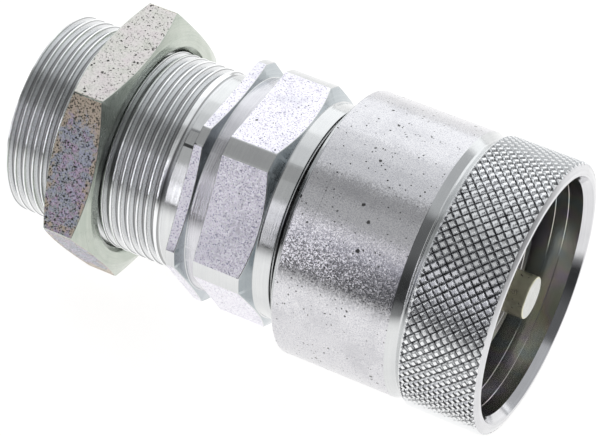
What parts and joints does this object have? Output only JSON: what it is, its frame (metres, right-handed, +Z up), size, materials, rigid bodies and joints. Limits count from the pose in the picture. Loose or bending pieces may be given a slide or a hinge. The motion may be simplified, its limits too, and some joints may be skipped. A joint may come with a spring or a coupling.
{
  "type": "bulkhead screw coupling",
  "caption": "Bulkhead screw coupling half: threaded tube end with a hexagon locknut, wrench hexagons, a knurled union sleeve and a spring-loaded poppet valve.",
  "frame": {"origin": "under the middle of the coupling, on the plane that its union sleeve rests on", "axes": "+X along the coupling's axis towards the mouth of the union sleeve, +Z up"},
  "size_m": [0.108, 0.0572, 0.056],
  "materials": {
    "bright_zinc": "bright zinc plate, finely sparkling",
    "olive_chromate": "pitted zinc with an olive chromate",
    "turned_steel": "fine turned",
    "spring_steel": "oiled spring steel",
    "bearing_bronze": "turned bronze",
    "black_rubber": "matte",
    "white_ptfe": "smooth"
  },
  "bodies": {
    "housing": {"coupling_body": "bright_zinc", "valve_nose": "turned_steel", "nose_shank_o_ring": "black_rubber", "nose_seal_o_ring": "black_rubber", "nose_backup_ring": "white_ptfe", "sleeve_thrust_washer": "white_ptfe", "sleeve_retaining_ring": "spring_steel", "poppet_guide": "turned_steel", "guide_bush": "bearing_bronze", "guide_snap_ring": "spring_steel", "spring_seat_washer": "turned_steel", "poppet_spring": "spring_steel"},
    "locknut": {"bulkhead_locknut": "olive_chromate"},
    "sleeve": {"union_sleeve": "bright_zinc", "sleeve_wiper_ring": "black_rubber"},
    "valve": {"poppet": "turned_steel", "poppet_seal": "black_rubber", "seal_clamp_disc": "turned_steel", "tappet_pin": "turned_steel", "stem_stop_ring": "spring_steel"}
  },
  "joints": [
    {"name": "sleeve_spin", "type": "hinge", "parent": "housing", "child": "sleeve", "pos_m": [0, 0, 0.02798], "axis": [1, 0, 0], "continuous": true},
    {"name": "locknut_travel", "type": "slide", "parent": "housing", "child": "locknut", "axis": [1, 0, 0], "range_m": [-0.0123, 0.0123]},
    {"name": "poppet_push", "type": "slide", "parent": "housing", "child": "valve", "axis": [1, 0, 0], "range_m": [-0.008, 0], "stiffness_N_per_m": 4000, "springref_m": 0.006, "deforming": ["poppet_spring"]}
  ]
}
